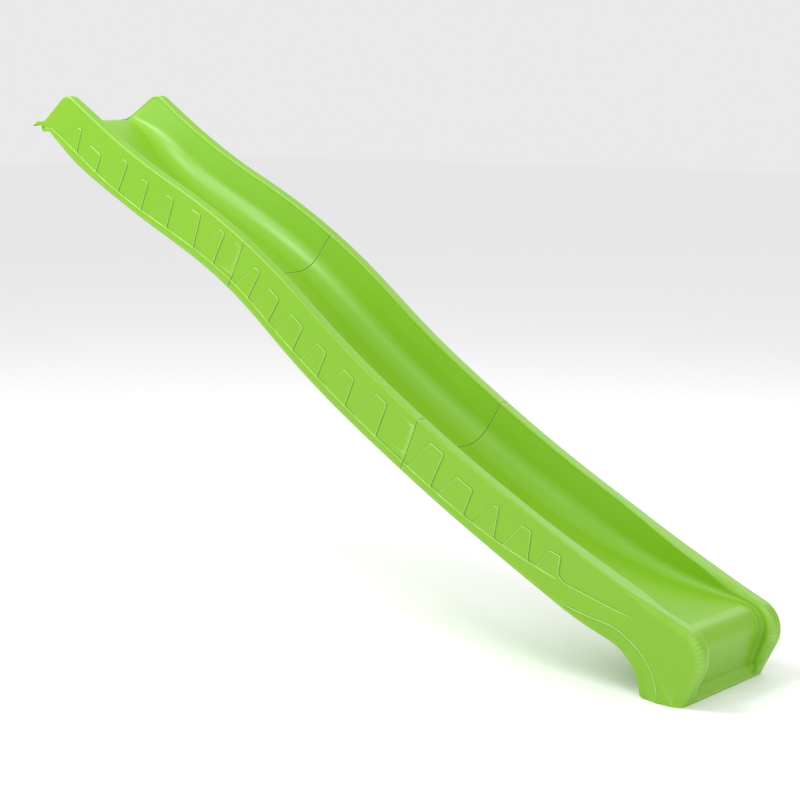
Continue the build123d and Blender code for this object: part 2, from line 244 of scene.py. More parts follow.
def joined(first: np.ndarray, second: np.ndarray, radius: float) -> np.ndarray:
    """Two rows of points that meet at a corner, joined by a round.

    Args:
        first: points that end at the corner.
        second: points that start at the corner.
        radius: of the round; 0 keeps the corner.

    Returns:
        One row of points.
    """
    before, after = SidePath(first), SidePath(second)
    if radius <= 0:
        return np.vstack([first, second[1:]])
    reach = radius * 0.3
    for _ in range(4):
        into = before.heading(np.array([before.length - reach]))[0]
        out = after.heading(np.array([reach]))[0]
        turn = math.acos(max(-1.0, min(1.0, float(into @ out))))
        reach = min(radius * math.tan(turn / 2), 0.95 * before.length, 0.95 * after.length)
    if turn < 0.01:
        return np.vstack([first, second[1:]])
    start, end = before.at(np.array([before.length - reach]))[0], after.at(np.array([reach]))[0]
    handle = 4 / 3 * math.tan(turn / 4) * reach / math.tan(turn / 2)
    share = np.linspace(0, 1, max(int(math.degrees(turn) / 9), 4) + 1)[:, None]
    pull_in, pull_out = start + into * handle, end - out * handle
    arc = ((1 - share) ** 3 * start + 3 * (1 - share) ** 2 * share * pull_in
           + 3 * (1 - share) * share ** 2 * pull_out + share ** 3 * end)
    return np.vstack([before.part(0, before.length - reach)[:-1], arc, after.part(reach, after.length)[1:]])


def chain(rows: list[np.ndarray], radii: list[float]) -> np.ndarray:
    """Rows of points joined one after another, with a radius for each corner."""
    result = rows[0]
    for row, radius in zip(rows[1:], radii):
        result = joined(result, row, radius)
    return result


@dataclass(frozen=True)
class SeamLine:
    """Where two sections meet, as a line in the side view from the lower edge to the rim."""

    low: Point
    high: Point

    def up(self) -> np.ndarray:
        """The unit vector along the seam, towards the rim."""
        line = np.array(self.high) - np.array(self.low)
        return line / np.linalg.norm(line)

    def downhill(self) -> np.ndarray:
        """The unit vector square to the seam, downhill."""
        return -left_of(self.up())

    def beyond(self, points: np.ndarray) -> np.ndarray:
        """How far downhill of the seam each point is."""
        return (np.asarray(points) - np.array(self.low)) @ self.downhill()

    def moved(self, distance: float) -> "SeamLine":
        """The same line set off downhill."""
        shift = distance * self.downhill()
        return SeamLine(tuple(np.array(self.low) + shift), tuple(np.array(self.high) + shift))

    def point(self, share: float) -> np.ndarray:
        """The point at a share of the seam's length."""
        return np.array(self.low) + share * (np.array(self.high) - np.array(self.low))


UPPER_SEAM = SeamLine((861, 1005), (936, 1160))
LOWER_SEAM = SeamLine((1561, 522), (1628, 681))


@dataclass(frozen=True)
class Pad:
    """A raised pad on the outer wall, by lengths along the bead line."""

    start: float
    foot: float
    lean: float
    upper: float
    height: float


@dataclass(frozen=True)
class Station:
    """One key cross-section: its points on the rim, floor, lower edge and underside."""

    rim: Point
    floor: Point
    lower: Point
    under: Point
    steps: int


@dataclass
class SlideShape:
    """The slide's lines in the side view and the sizes of its cross-section."""

    half_width: float = 220.0
    relief: float = 3.0
    half_chute: float = 160.0
    half_underside: float = 154.0
    floor_thickness: float = 20.0
    lip_tip: Point = (-48.0, 1500.0)
    lip_bevel: Point = (-28.0, 1515.5)
    wall_root: Point = (4.0, 1515.5)
    toe: Point = (2531.0, 0.0)
    toe_round_start: float = 2503.0
    rim_knots: tuple[Point, ...] = (
        (124, 1609), (300, 1495.5), (500, 1383.5), (700, 1289), (900, 1181), (1100, 1048.5), (1300, 896),
        (1500, 759.5), (1700, 636), (1900, 523), (2100, 419), (2300, 318), (2500, 230), (2621, 178))
    floor_knots: tuple[Point, ...] = (
        (30, 1515), (110, 1478), (300, 1343), (500, 1235), (700, 1142), (900, 1027), (1100, 877), (1300, 730),
        (1500, 602), (1700, 485), (1900, 381), (2100, 296), (2300, 237), (2480, 210))
    bead_knots: tuple[Point, ...] = (
        (48, 1497), (110, 1458), (300, 1335), (500, 1231), (700, 1139), (900, 1026), (1100, 872),
        (1300, 727), (1500, 597), (1700, 479), (1900, 376), (2133, 290))
    lower_knots: tuple[Point, ...] = (
        (38, 1481), (105, 1420), (300, 1299), (500, 1197), (700, 1102), (900, 984), (1100, 829), (1300, 685),
        (1500, 559), (1700, 441), (1900, 332), (2100, 228), (2264, 152), (2312, 131), (2351, 99), (2375, 63),
        (2386, 33), (2390.5, 0))
    step_knots: tuple[Point, ...] = ((2133, 290), (2271, 252), (2386, 224), (2440, 217))
    rib_knots: tuple[Point, ...] = (
        (2116, 219), (2207, 206), (2272, 195), (2319, 184), (2365, 159), (2411, 121), (2440, 79), (2452, 42),
        (2456, 4))
    strip_start: Point = (0.0, 1497.0)
    block_foot: Point = (0.0, 1481.0)
    roll_corner: Point = (2571.0, 199.5)
    panel_foot: Point = (2521.0, 40.0)
    flange_top: Point = (2536.0, 9.0)
    flange_foot: Point = (2531.0, 0.0)
    panel_back: tuple[Point, ...] = ((2537.0, 178.0), (2500.0, 40.0), (2500.0, 0.0))
    peak_radius: float = 45.0
    nose_radius: float = 85.0
    root_radius: float = 24.0
    roll_radius: float = 58.0
    rim_round: float = 6.0
    nose_round: float = 22.0
    toe_round: float = 26.0
    inner_round: float = 5.0
    nose_inner_round: float = 24.0
    trough_radius: float = 80.0
    entry_radius: float = 26.0
    exit_radius: float = 12.0
    draft: float = 0.28
    ramp: float = 7.4
    ledge: float = 10.0
    ridge: float = 0.5
    pocket_depth: float = 0.5
    plate: float = 12.0
    plate_recess: float = 3.0
    half_gap: float = 0.2
    crease_x: float = 2498.0
    crease_bow: float = 12.0
    crease_drop: float = 1.3
    crease_length: float = 4.0
    groove: float = 4.5
    groove_y: float = 153.0
    groove_half: float = 9.0
    tail_x: float = 2400.0
    wall_end_x: float = 2476.0
    pad_inset: float = 3.0
    lip_change: Change = Change(-28.0, 40.0)
    nose_change: Change = Change(2300.0, 190.0)
    toe_change: Change = Change(90.0, -70.0)
    foot_level: Change = Change(2290.0, 170.0)
    toe_turn: Change = Change(60.0, -60.0)
    entry_opening: Change = Change(20.0, 260.0)
    exit_closing: Change = Change(1900.0, 590.0)
    wall_straightening: Change = Change(2000.0, 400.0)
    inner_easing: Change = Change(2330.0, 170.0)
    crease_inside: Change = Change(150.0, -20.0)
    crease_height: Change = Change(120.0, 60.0)
    groove_run: Change = Change(2490.0, 25.0)
    groove_height: Change = Change(60.0, 60.0)
    edge_growth: Change = Change(45.0, 50.0)
    edge_shrinking: Change = Change(2080.0, 120.0)
    edge_fading: Change = Change(2462.0, 40.0)
    edge_least: float = 1.4
    reach_growth: float = 12.0
    reach_shrinking: float = 7.0
    depth_growth: float = 6.5
    depth_shrinking: float = 1.5
    band_start: Change = Change(2125.0, 200.0)
    band_end: Change = Change(2458.0, -50.0)
    band_depth: float = 12.0
    ledge_start: Change = Change(2140.0, 60.0)
    ledge_end: Change = Change(2460.0, -200.0)
    step_end: Change = Change(2476.0, -40.0)

    def __post_init__(self) -> None:
        """Works the paths out from the lines."""
        self.rim = SidePath(chain(
            legs(self.lip_tip, self.lip_bevel, self.wall_root, self.rim_knots[0])
            + [smooth(self.rim_knots)] + legs(self.rim_knots[-1], self.toe),
            [2.0, self.root_radius, self.peak_radius, self.nose_radius]))
        self.floor = SidePath(chain(
            legs(self.lip_tip, self.lip_bevel, self.floor_knots[0]) + [smooth(self.floor_knots)]
            + legs(self.floor_knots[-1], self.roll_corner, self.panel_foot, self.flange_top,
                   self.flange_foot),
            [2.0, 60.0, 90.0, self.roll_radius, 7.0, 4.0]))
        lip_low = (self.lip_tip, (0, self.lip_tip[1]), self.block_foot)
        self.lower = SidePath(chain(
            legs(*lip_low, self.lower_knots[0]) + [smooth(self.lower_knots)]
            + legs(self.lower_knots[-1], (self.toe_round_start, 0)), [1.5, 1.5, 10.0, 15.0]))
        start = (self.plate, self.block_foot[1])
        top = (self.plate + 1.0, 1495.0)
        under = [(x, z - self.floor_thickness) for x, z in self.floor_knots]
        under[0] = top
        rows = legs(*lip_low, start, top) + [smooth(under)] + legs(under[-1], *self.panel_back)
        self.under = SidePath(chain(rows, [1.5, 1.5, 1.5, 3.0, 60.0, 34.0, 6.0]))
        self.bead = SidePath(smooth(self.bead_knots, 6.0))
        self.plate_low = SidePath(self.lower.points + np.array([0, self.plate_recess]))

    def beside_bead(self, along: float, height: float) -> np.ndarray:
        """The point at a length of the bead line and a height square to it."""
        along = min(along, self.bead.length - self.pad_inset)
        foot = self.bead.at(np.array([along]))[0]
        head = self.bead.heading(np.array([along]))[0]
        return foot + height * left_of(head)

    def outer_round(self, rim: np.ndarray) -> np.ndarray:
        """The radius of the rim's outer edge at these rim points: small, and large round the nose."""
        x, z = rim[:, 0], rim[:, 1]
        nose = between(self.rim_round, self.nose_round, self.nose_change.at(x))
        toe = (self.toe_round - self.nose_round) * self.toe_change.at(z) * (x > self.tail_x)
        return (nose + toe) * (0.35 + 0.65 * self.lip_change.at(x))

    def wall_face(self, rim: np.ndarray) -> np.ndarray:
        """How far out the plain wall is: set back from the pads, and level with the foot at the nose."""
        return self.half_width - self.relief * (1 - self.foot_level.at(rim[..., 0]))


class Slot(Enum):
    """The material slots of the part."""

    PLASTIC = "slide_plastic"
    HARDWARE = "zinc_hardware"


@dataclass
class SlideSection:
    """One moulded section of the slide: chute, walls, rails, pads and end plates."""

    node: str
    shape: SlideShape
    stations: tuple[Station, ...]
    pads: tuple[Pad, ...]
    upper_seam: SeamLine | None = None
    lower_seam: SeamLine | None = None
    pocket_start: float = 0.0
    pocket_span: Point = (0.30, 0.84)
    shift: float = 0.0
    box: tuple[Vector, Vector] = (Vector(), Vector())
    rows: dict[str, np.ndarray] = field(default_factory=dict)

    def build(self, material: bpy.types.Material, slot: Slot) -> bpy.types.Object:
        """Makes the section's closed mesh.

        Args:
            material: the slide's plastic.
            slot: the material slot it stands for; not used.

        Returns:
            The section's object, in place of its plain node.
        """
        self.lay_out()
        mesh = bmesh.new()
        inner, under = self.inner_rows(), self.under_rows()
        self.add_sheet(mesh, inner)
        self.add_sheet(mesh, under)
        self.add_outer_wall(mesh, inner[:, -1], under[:, 0])
        bmesh.ops.remove_doubles(mesh, verts=mesh.verts, dist=WELD)
        bmesh.ops.dissolve_degenerate(mesh, dist=WELD, edges=mesh.edges)
        self.add_beads(mesh)
        self.frame_flats(mesh)
        self.flatten_middle(mesh)
        bmesh.ops.mirror(mesh, geom=mesh.verts[:] + mesh.edges[:] + mesh.faces[:], merge_dist=WELD, axis="Y")
        bmesh.ops.remove_doubles(mesh, verts=mesh.verts, dist=WELD)
        self.close_ends(mesh)
        bmesh.ops.recalc_face_normals(mesh, faces=mesh.faces)
        for face in mesh.faces:
            face.smooth = len(face.verts) < FLAT_FACE_VERTS
        open_edges = sum(1 for e in mesh.edges if not e.is_manifold)
        data = bpy.data.meshes.new(self.node + "_shell")
        mesh.to_mesh(data)
        mesh.free()
        data.materials.append(material)
        piece = bpy.data.objects.new(self.node + "_shell", data)
        bpy.context.scene.collection.objects.link(piece)
        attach(piece, "root")
        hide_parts(self.node)
        LOG.info("%s: %d faces, %d open edges", piece.name, len(data.polygons), open_edges)
        return piece

    def place(self, side: np.ndarray, across: np.ndarray) -> np.ndarray:
        """Turns side-view points and distances across into places in the frame, in metres."""
        across = np.broadcast_to(across, side.shape[:-1])
        return np.stack([(side[..., 0] + self.shift), across, side[..., 1]], axis=-1) / METRE

    def section_under(self) -> SidePath:
        """The underside's path with this section's end plates."""
        points = self.shape.under
        start, end = 0.0, points.length
        rows, radii = [], []
        if self.upper_seam:
            edge, foot, top = self.plate_corners(self.upper_seam, 1.0)
            rows += [straight(edge, foot), straight(foot, top)]
            radii += [1.5, 5.0]
            start = points.near(top)
        if self.lower_seam:
            end = points.near(self.plate_corners(self.lower_seam, -1.0)[2])
        rows.append(points.part(start, end))
        if self.lower_seam:
            edge, foot, top = self.plate_corners(self.lower_seam, -1.0)
            rows += [straight(top, foot), straight(foot, edge)]
            radii += [5.0, 1.5]
        return SidePath(chain(rows, radii))

    def plate_corners(self, seam: SeamLine, side: float) -> tuple[np.ndarray, np.ndarray, np.ndarray]:
        """The end plate's lower corner at the seam, its far lower corner and its top."""
        shape = self.shape
        end = seam.moved(side * shape.half_gap)
        face = seam.moved(side * (shape.half_gap + shape.plate))
        low, under = shape.plate_low, shape.under
        return (low.at(np.array([low.cross(end)]))[0], low.at(np.array([low.cross(face)]))[0],
                under.at(np.array([under.cross(face)]))[0])

    def keys_of(self, name: str, path: SidePath) -> list[float]:
        """The lengths along one path at every key station."""
        return [path.near(getattr(s, name)) for s in self.stations]

    def lay_out(self) -> None:
        """Spaces the cross-sections along all four paths."""
        shape = self.shape
        under = self.section_under()
        keys = {"rim": self.keys_of("rim", shape.rim), "floor": self.keys_of("floor", shape.floor),
                "lower": self.keys_of("lower", shape.lower), "under": self.keys_of("under", under)}
        steps = [s.steps for s in self.stations]
        paths = {"rim": shape.rim, "floor": shape.floor, "lower": shape.lower}
        for seam, side, first in ((self.upper_seam, 1.0, True), (self.lower_seam, -1.0, False)):
            if not seam:
                continue
            corners = [under.near(p) for p in self.plate_corners(seam, side)]
            extra = {}
            for name, path in paths.items():
                at = [path.cross(seam.moved(side * d)) for d in (shape.half_gap, *SEAM_SETBACKS)]
                extra[name] = at
            back = SEAM_SETBACKS[-1] - shape.plate
            extra["under"] = corners + [corners[2] + side * back]
            for name, values in extra.items():
                keys[name] = values + keys[name] if first else keys[name] + values[::-1]
            steps = [0, *SEAM_STEPS, *steps] if first else [*steps, steps[-1], *SEAM_STEPS]
        count = len(steps)
        marks = np.cumsum([0] + steps[1:count])
        fine = np.arange(marks[-1] + 1)
        for name, path in (*paths.items(), ("under", under)):
            self.rows[name] = path.at(np.interp(fine, marks, keys[name]))
            self.rows[name + "_heading"] = path.heading(np.interp(fine, marks, keys[name]))

    def rim_normals(self) -> np.ndarray:
        """Unit vectors square to the rim, into the wall."""
        return -left_of(self.rows["rim_heading"])

    def sheared(self, direction: np.ndarray, normal: np.ndarray) -> np.ndarray:
        """Vectors along direction that go one millimetre deep, measured square to the rim."""
        depth = np.maximum((direction * normal).sum(1), MIN_SQUARE)
        return direction / depth[:, None]

    def outer_direction(self) -> np.ndarray:
        """Vectors one millimetre deep from the rim down the outer wall."""
        normal = self.rim_normals()
        direction = normal.copy()
        if not self.lower_seam:
            x, z = self.rows["rim"].T
            turn = (self.shape.toe_turn.at(z) * (x > self.shape.tail_x))[:, None]
            direction = direction * (1 - turn) + turn * np.array([-1.0, 0.0])
        share = np.linspace(0, 1, SEAM_BLEND_ROWS)[:, None]
        if self.upper_seam:
            end = slice(0, SEAM_BLEND_ROWS)
            direction[end] = direction[end] * share - (1 - share) * self.upper_seam.up()
        if self.lower_seam:
            end = slice(-SEAM_BLEND_ROWS, None)
            direction[end] = direction[end] * (1 - share) - share * self.lower_seam.up()
        direction /= np.linalg.norm(direction, axis=1, keepdims=True)
        return self.sheared(direction, normal)

    def inner_rows(self) -> np.ndarray:
        """The sheet from the floor's middle, up the wall and over the rim."""
        shape, rim, floor = self.shape, self.rows["rim"], self.rows["floor"]
        line = floor - rim
        drop = np.linalg.norm(line, axis=1)
        normal, outward = self.rim_normals(), self.outer_direction()
        safe = np.maximum(drop, 1e-3)[:, None]
        down = np.where(drop[:, None] > 0.5, line / safe, normal)
        face, outer = shape.wall_face(rim), shape.outer_round(rim)
        x = floor[:, 0]
        radii = between(shape.entry_radius, shape.trough_radius, shape.entry_opening.at(x))
        radii = between(radii, shape.exit_radius, shape.exit_closing.share(x))
        lean = shape.draft * (1 - shape.wall_straightening.at(x))
        edge = between(shape.inner_round, shape.nose_inner_round, shape.inner_easing.at(rim[:, 0]))
        sheet = []
        for i in range(len(rim)):
            profile = self.half_profile(drop[i], radii[i], lean[i], edge[i], face[i], outer[i])
            depth, across, is_outer = profile[:, 1], profile[:, 0], profile[:, 2] > 0
            scale = 1.0 / max(float(down[i] @ normal[i]), MIN_SQUARE)
            near_rim = np.minimum(depth, edge[i]) * (scale - 1)
            limit = max(drop[i], 1e-6)
            inner = rim[i] + down[i] * np.minimum(depth + near_rim * (1 - depth / limit), limit)[:, None]
            outside = rim[i] + outward[i] * depth[:, None]
            side = np.where(is_outer[:, None], outside, inner)
            sheet.append(self.place(side, across))
        sheet = np.array(sheet)
        return self.with_exit_details(sheet)

    def half_profile(self, drop: float, radius: float, lean: float, edge: float, face: float,
                     outer: float) -> np.ndarray:
        """One half of the cross-section, from the floor's middle to the outer wall.

        Args:
            drop: from the rim down to the floor.
            radius: of the corner between floor and wall.
            lean: how far the wall leans out for each millimetre of height.
            edge: radius of the rim's inner edge.
            face: how far out the wall's face is.
            outer: radius of the rim's outer edge.

        Returns:
            Rows of (distance across, depth under the rim, 1 on the outer side).
        """
        shape = self.shape
        inner = min(edge, 0.6 * drop)
        rise = max(drop - inner, 0.0)
        turn = min(math.acos(max(1 - rise / radius, 0.0)), math.atan(1 / max(lean, 1e-3)))
        flat = shape.half_chute - radius * math.cos(math.atan(lean))
        rows = [(flat * s, drop, 0) for s in FLOOR_SHARES]
        for angle in np.linspace(0, turn, 17):
            rows.append((flat + radius * math.sin(angle), drop - radius * (1 - math.cos(angle)), 0))
        top, height = rows[-1][0], drop - rows[-1][1]
        for share in np.linspace(0, 1, 8)[1:]:
            level = height + share * (rise - height)
            rows.append((top + lean * (level - height), drop - level, 0))
        top = rows[-1][0]
        for angle in np.linspace(0, math.pi / 2, 8)[1:]:
            rows.append((top + inner * (1 - math.cos(angle)), inner * (1 - math.sin(angle)), 0))
        crest = rows[-1][0]
        for share in np.linspace(0, 1, 6)[1:]:
            rows.append((crest + share * (face - outer - crest), 0.0, 0))
        for angle in np.linspace(0, math.pi / 2, 9)[1:]:
            rows.append((face - outer + outer * math.sin(angle), outer * (1 - math.cos(angle)), 1))
        return np.array(rows)

    def with_exit_details(self, sheet: np.ndarray) -> np.ndarray:
        """Adds the bowed crease at the floor's end and the grooves beside the roll."""
        if self.lower_seam:
            return sheet
        shape = self.shape
        x = sheet[:, :TROUGH_COLUMNS, 0] * METRE - self.shift
        y = np.abs(sheet[:, :TROUGH_COLUMNS, 1]) * METRE
        z = sheet[:, :TROUGH_COLUMNS, 2] * METRE
        bow = shape.crease_bow * (1 - (y / shape.half_chute) ** 2)
        drop = shape.crease_drop * ease((x - shape.crease_x - bow) / shape.crease_length)
        drop *= shape.crease_inside.at(y) * shape.crease_height.at(z)
        dip = ease(1 - np.abs(y - shape.groove_y) / shape.groove_half)
        run = shape.groove_run.at(x) * shape.groove_height.at(z)
        inward = -left_of(self.rows["floor_heading"])
        depth = (drop + shape.groove * dip * run) / METRE
        sheet[:, :TROUGH_COLUMNS, 0] += inward[:, None, 0] * depth
        sheet[:, :TROUGH_COLUMNS, 2] += inward[:, None, 1] * depth
        return sheet

    def lower_normals(self) -> np.ndarray:
        """Unit vectors square to the lower edge, into the wall."""
        return left_of(self.rows["lower_heading"])

    def lower_reach(self) -> tuple[np.ndarray, np.ndarray]:
        """How high and how deep the wall's lower edge is eased at each cross-section."""
        shape, x = self.shape, self.rows["lower"][:, 0]
        grown, shrunk = shape.edge_growth.at(x), shape.edge_shrinking.at(x)
        kept = 1 - shape.edge_fading.at(x)
        reach = shape.edge_least + shape.reach_growth * grown - shape.reach_shrinking * shrunk
        depth = shape.edge_least + shape.depth_growth * grown - shape.depth_shrinking * shrunk
        return reach * kept, depth * kept

    def lower_start(self) -> np.ndarray:
        """Where the outer wall's flat face ends above the lower edge."""
        reach = self.lower_reach()[0]
        normal = self.lower_normals()
        for seam, index in ((self.upper_seam, 0), (self.lower_seam, -1)):
            if seam:
                up = seam.up()
                normal[index] = up / max(float(up @ normal[index]), 0.5)
        return self.rows["lower"] + normal * reach[:, None]

    def lower_face(self) -> np.ndarray:
        """How far out the wall is at the end of its flat face."""
        shape, lower = self.shape, self.rows["lower"]
        face = np.full(len(lower), shape.half_width - shape.ridge)
        face[lower[:, 0] < -0.5] = shape.half_width - shape.relief
        if not self.lower_seam:
            face -= shape.band_depth * shape.band_start.at(lower[:, 0]) * shape.band_end.at(lower[:, 0])
        return face

    def under_rows(self) -> np.ndarray:
        """The sheet from the outer wall, round the lower edge and in under the floor."""
        shape, lower, under = self.shape, self.rows["lower"], self.rows["under"]
        reach, depth = self.lower_reach()
        start, face = self.lower_start(), self.lower_face()
        ridge = shape.ridge * ease((reach - 4.0) / 4.0)
        sheet = []
        inner = shape.half_underside
        for i in range(len(lower)):
            rows, across = [], []
            lift = start[i] - lower[i]
            proud = ridge[i]
            for share, level in LOWER_RIDGE_PROFILE:
                rows.append(lower[i] + lift * (1 - share))
                across.append(face[i] + proud * level)
            for angle in np.linspace(0.32, math.pi / 2, 6):
                rows.append(lower[i] + lift * (1 - math.sin(angle)))
                across.append(face[i] - depth[i] * (1 - math.cos(angle)))
            rise = under[i] - lower[i]
            height = float(np.linalg.norm(rise))
            bend = min(4.0, 0.3 * height)
            corner = min(9.0, 0.4 * height)
            unit = rise / max(height, 1e-6)
            edge = across[-1]
            for share in (0.35, 0.7):
                rows.append(lower[i])
                across.append(edge + share * (inner + bend - edge))
            for angle in np.linspace(0, math.pi / 2, 5):
                rows.append(lower[i] + unit * bend * (1 - math.cos(angle)))
                across.append(inner + bend * (1 - math.sin(angle)))
            for angle in np.linspace(0, math.pi / 2, 6):
                rows.append(under[i] - unit * corner * (1 - math.sin(angle)))
                across.append(inner - corner * (1 - math.cos(angle)))
            for share in (0.3, 0.6, 1.0):
                rows.append(under[i])
                across.append((inner - corner) * (1 - share))
            sheet.append(self.place(np.array(rows), np.array(across)))
        return np.array(sheet)

    def add_sheet(self, mesh: bmesh.types.BMesh, places: np.ndarray) -> None:
        """Adds a grid and lays it on rows of places."""
        rows, columns = places.shape[:2]
        made = bmesh.ops.create_grid(mesh, x_segments=columns - 1, y_segments=rows - 1, size=1.0)
        for vert, place in zip(made["verts"], places.reshape(-1, 3)):
            vert.co = place

    def add_region(self, mesh: bmesh.types.BMesh, outline: np.ndarray) -> None:
        """Adds one flat face inside an outline."""
        keep = np.linalg.norm(np.diff(outline, axis=0, append=outline[:1]), axis=1) > WELD
        mesh.faces.new([mesh.verts.new(p) for p in outline[keep]])

    def relief_line(self) -> np.ndarray:
        """The upper edge of the raised strip and its pads, from uphill to downhill."""
        shape, bead = self.shape, self.shape.bead
        gap = shape.half_gap
        start = bead.cross(self.upper_seam.moved(gap)) if self.upper_seam else 0.0
        end = bead.cross(self.lower_seam.moved(-gap)) if self.lower_seam else bead.length
        rows, radii, at = [], [], start
        if not self.upper_seam:
            rows.append(straight(shape.strip_start, shape.bead_knots[0], 8.0))
            radii.append(12.0)
        for pad in self.pads:
            corners = [shape.beside_bead(pad.start, 0), shape.beside_bead(pad.start + pad.lean, pad.height),
                       shape.beside_bead(pad.start + pad.lean + pad.upper, pad.height),
                       shape.beside_bead(pad.start + pad.foot, 0)]
            round_off = min(12.0, 0.48 * pad.upper)
            rows += [bead.part(at, pad.start), straight(corners[0], corners[1], 40.0),
                     straight(corners[1], corners[2], 40.0), straight(corners[2], corners[3], 40.0)]
            radii += [4.0, round_off, round_off, 4.0]
            at = min(pad.start + pad.foot, bead.length - shape.pad_inset)
        rows.append(bead.part(at, end))
        if not self.lower_seam:
            step = smooth(shape.step_knots, 8.0)
            rows.append(step)
            radii.append(30.0)
        return chain(rows, radii)

    def offset(self, line: np.ndarray, ends: tuple[np.ndarray | None, np.ndarray | None]) -> np.ndarray:
        """Vectors one millimetre to the right of a line, mitred at its corners.

        Args:
            line: points of the line.
            ends: directions to keep to at its ends, or None.

        Returns:
            One vector per point.
        """
        step = np.diff(line, axis=0)
        step /= np.linalg.norm(step, axis=1, keepdims=True)
        right = -left_of(step)
        before, after = np.vstack([right[:1], right]), np.vstack([right, right[-1:]])
        middle = before + after
        middle /= np.linalg.norm(middle, axis=1, keepdims=True)
        vectors = middle / np.maximum((middle * before).sum(1), 0.5)[:, None]
        for index, direction in zip((0, -1), ends):
            if direction is not None:
                vectors[index] = direction / max(abs(float(direction @ middle[index])), 0.3)
        return vectors

    def ramp_rows(self, line: np.ndarray, vectors: np.ndarray, widths: np.ndarray, low: np.ndarray,
                  high: np.ndarray) -> np.ndarray:
        """A step that runs beside a line, with a shallow groove before it and a fine ridge on its edge."""
        rows = []
        for share, level in STEP_PROFILE:
            side = line + vectors * (widths * share)[:, None]
            rows.append(self.place(side, low + (high - low) * level))
        return np.array(rows)

    def add_outer_wall(self, mesh: bmesh.types.BMesh, crown: np.ndarray, foot: np.ndarray) -> None:
        """Adds the outer wall: its plain face, the strip with its pads, and the pocket at the seam.

        Args:
            mesh: the section's mesh.
            crown: the wall's upper edge.
            foot: the wall's lower edge.
        """
        shape = self.shape
        line = self.relief_line()
        up_ends = tuple(-s.up() if s else None for s in (self.upper_seam, self.lower_seam))
        last = len(crown)
        if not self.lower_seam:
            x = crown[:, 0] * METRE - self.shift
            last = int(np.argmax(x > shape.wall_end_x)) + 1
            end = np.array([x[last - 1], crown[last - 1, 2] * METRE])
            line = joined(line, straight(line[-1], end, 6.0), 30.0)
        vectors = self.offset(line, up_ends)
        along = line[:, 0]
        widths = between(shape.ramp, shape.ledge, shape.ledge_start.at(along) * shape.ledge_end.at(along))
        if not self.lower_seam:
            widths *= shape.step_end.at(along)
        low, high = shape.wall_face(line), np.full(len(line), shape.half_width - shape.ridge)
        ramp = self.ramp_rows(line, vectors, widths, low, high)
        if not self.lower_seam:
            ramp[:, -1] = crown[last - 1]
        self.add_sheet(mesh, ramp)
        notch, recess = self.pocket_edges(mesh)
        if self.upper_seam:
            field_start = np.empty((0, 3))
            strip_start = np.empty((0, 3))
            split = 0
        else:
            side = foot[:, [0, 2]] * METRE - np.array([self.shift, 0])
            split = int(np.argmin(np.linalg.norm(side - line[0], axis=1)))
            ramp[:, 0] = foot[split]
            field_start = foot[:split + 1][::-1]
            strip_start = foot[split:split + 1]
        field_edge = np.vstack([crown[:last], notch, ramp[0][::-1], field_start])
        self.add_region(mesh, field_edge)
        lower = foot[split:]
        if not self.lower_seam:
            lower = self.add_arch_band(mesh, lower)
            self.add_region(mesh, np.vstack([ramp[-1], crown[last:], lower[::-1]]))
        else:
            self.add_region(mesh, np.vstack([strip_start, ramp[-1], lower[::-1]]))

    def pocket_edges(self, mesh: bmesh.types.BMesh) -> tuple[np.ndarray, np.ndarray]:
        """Adds the pocket just uphill of the lower seam, and gives its outline on the wall."""
        if not self.lower_seam:
            return np.empty((0, 3)), np.empty((0, 3))
        shape = self.shape
        seam = self.lower_seam.moved(-shape.half_gap)
        corners = [seam.point(self.pocket_span[1]), shape.beside_bead(self.pocket_start + 22, 112),
                   shape.beside_bead(self.pocket_start, 5), seam.point(self.pocket_span[0])]
        edge = chain([straight(a, b, 30.0) for a, b in zip(corners, corners[1:])], [9.0, 6.0])
        vectors = -self.offset(edge, (None, None))
        up = seam.up()
        vectors[0], vectors[-1] = -up, up
        low = shape.wall_face(edge)
        rows = self.ramp_rows(edge, vectors, np.full(len(edge), 5.0), low, low - shape.pocket_depth)
        self.add_sheet(mesh, rows)
        self.add_region(mesh, rows[-1])
        return rows[0], rows[-1]

    def add_arch_band(self, mesh: bmesh.types.BMesh, lower: np.ndarray) -> np.ndarray:
        """Adds the rib along the arch and the sloping band under it.

        Args:
            mesh: the section's mesh.
            lower: the end of the flat face along the lower edge.

        Returns:
            The lower edge of the foot's face, with the rib's line where the band is.
        """
        side = lower[:, [0, 2]] * METRE - np.array([self.shift, 0])
        knots = self.shape.rib_knots
        first = int(np.argmin(np.linalg.norm(side - np.array(knots[0]), axis=1)))
        last = int(np.argmin(np.linalg.norm(side - np.array(knots[-1]), axis=1)))
        count = last - first + 1
        rib = SidePath(smooth([tuple(side[first])] + list(knots[1:-1]) + [tuple(side[last])]))
        where = np.linspace(0, rib.length, count)
        line, up = rib.at(where), left_of(rib.heading(where))
        taper = ease(where / 50) * ease((rib.length - where) / 14)
        outer = self.shape.half_width - self.shape.ridge
        face = lower[first:last + 1, 1] * METRE
        edge = side[first:last + 1]
        rows = []
        for off, out in RIB_PROFILE:
            rows.append(self.place(line + up * (off * taper)[:, None], outer + out * taper))
        rib_foot, rib_depth = RIB_PROFILE[-1]
        start = line + up * (rib_foot * taper)[:, None]
        for share in RIB_FOOT_SHARES:
            level = (outer + rib_depth * taper) * (1 - share) + face * share
            rows.append(self.place(start * (1 - share) + edge * share, level))
        rows = np.array(rows)
        rows[:, 0], rows[:, -1] = lower[first], lower[last]
        rows[-1] = lower[first:last + 1]
        self.add_sheet(mesh, rows)
        return np.vstack([lower[:first], rows[0], lower[last + 1:]])

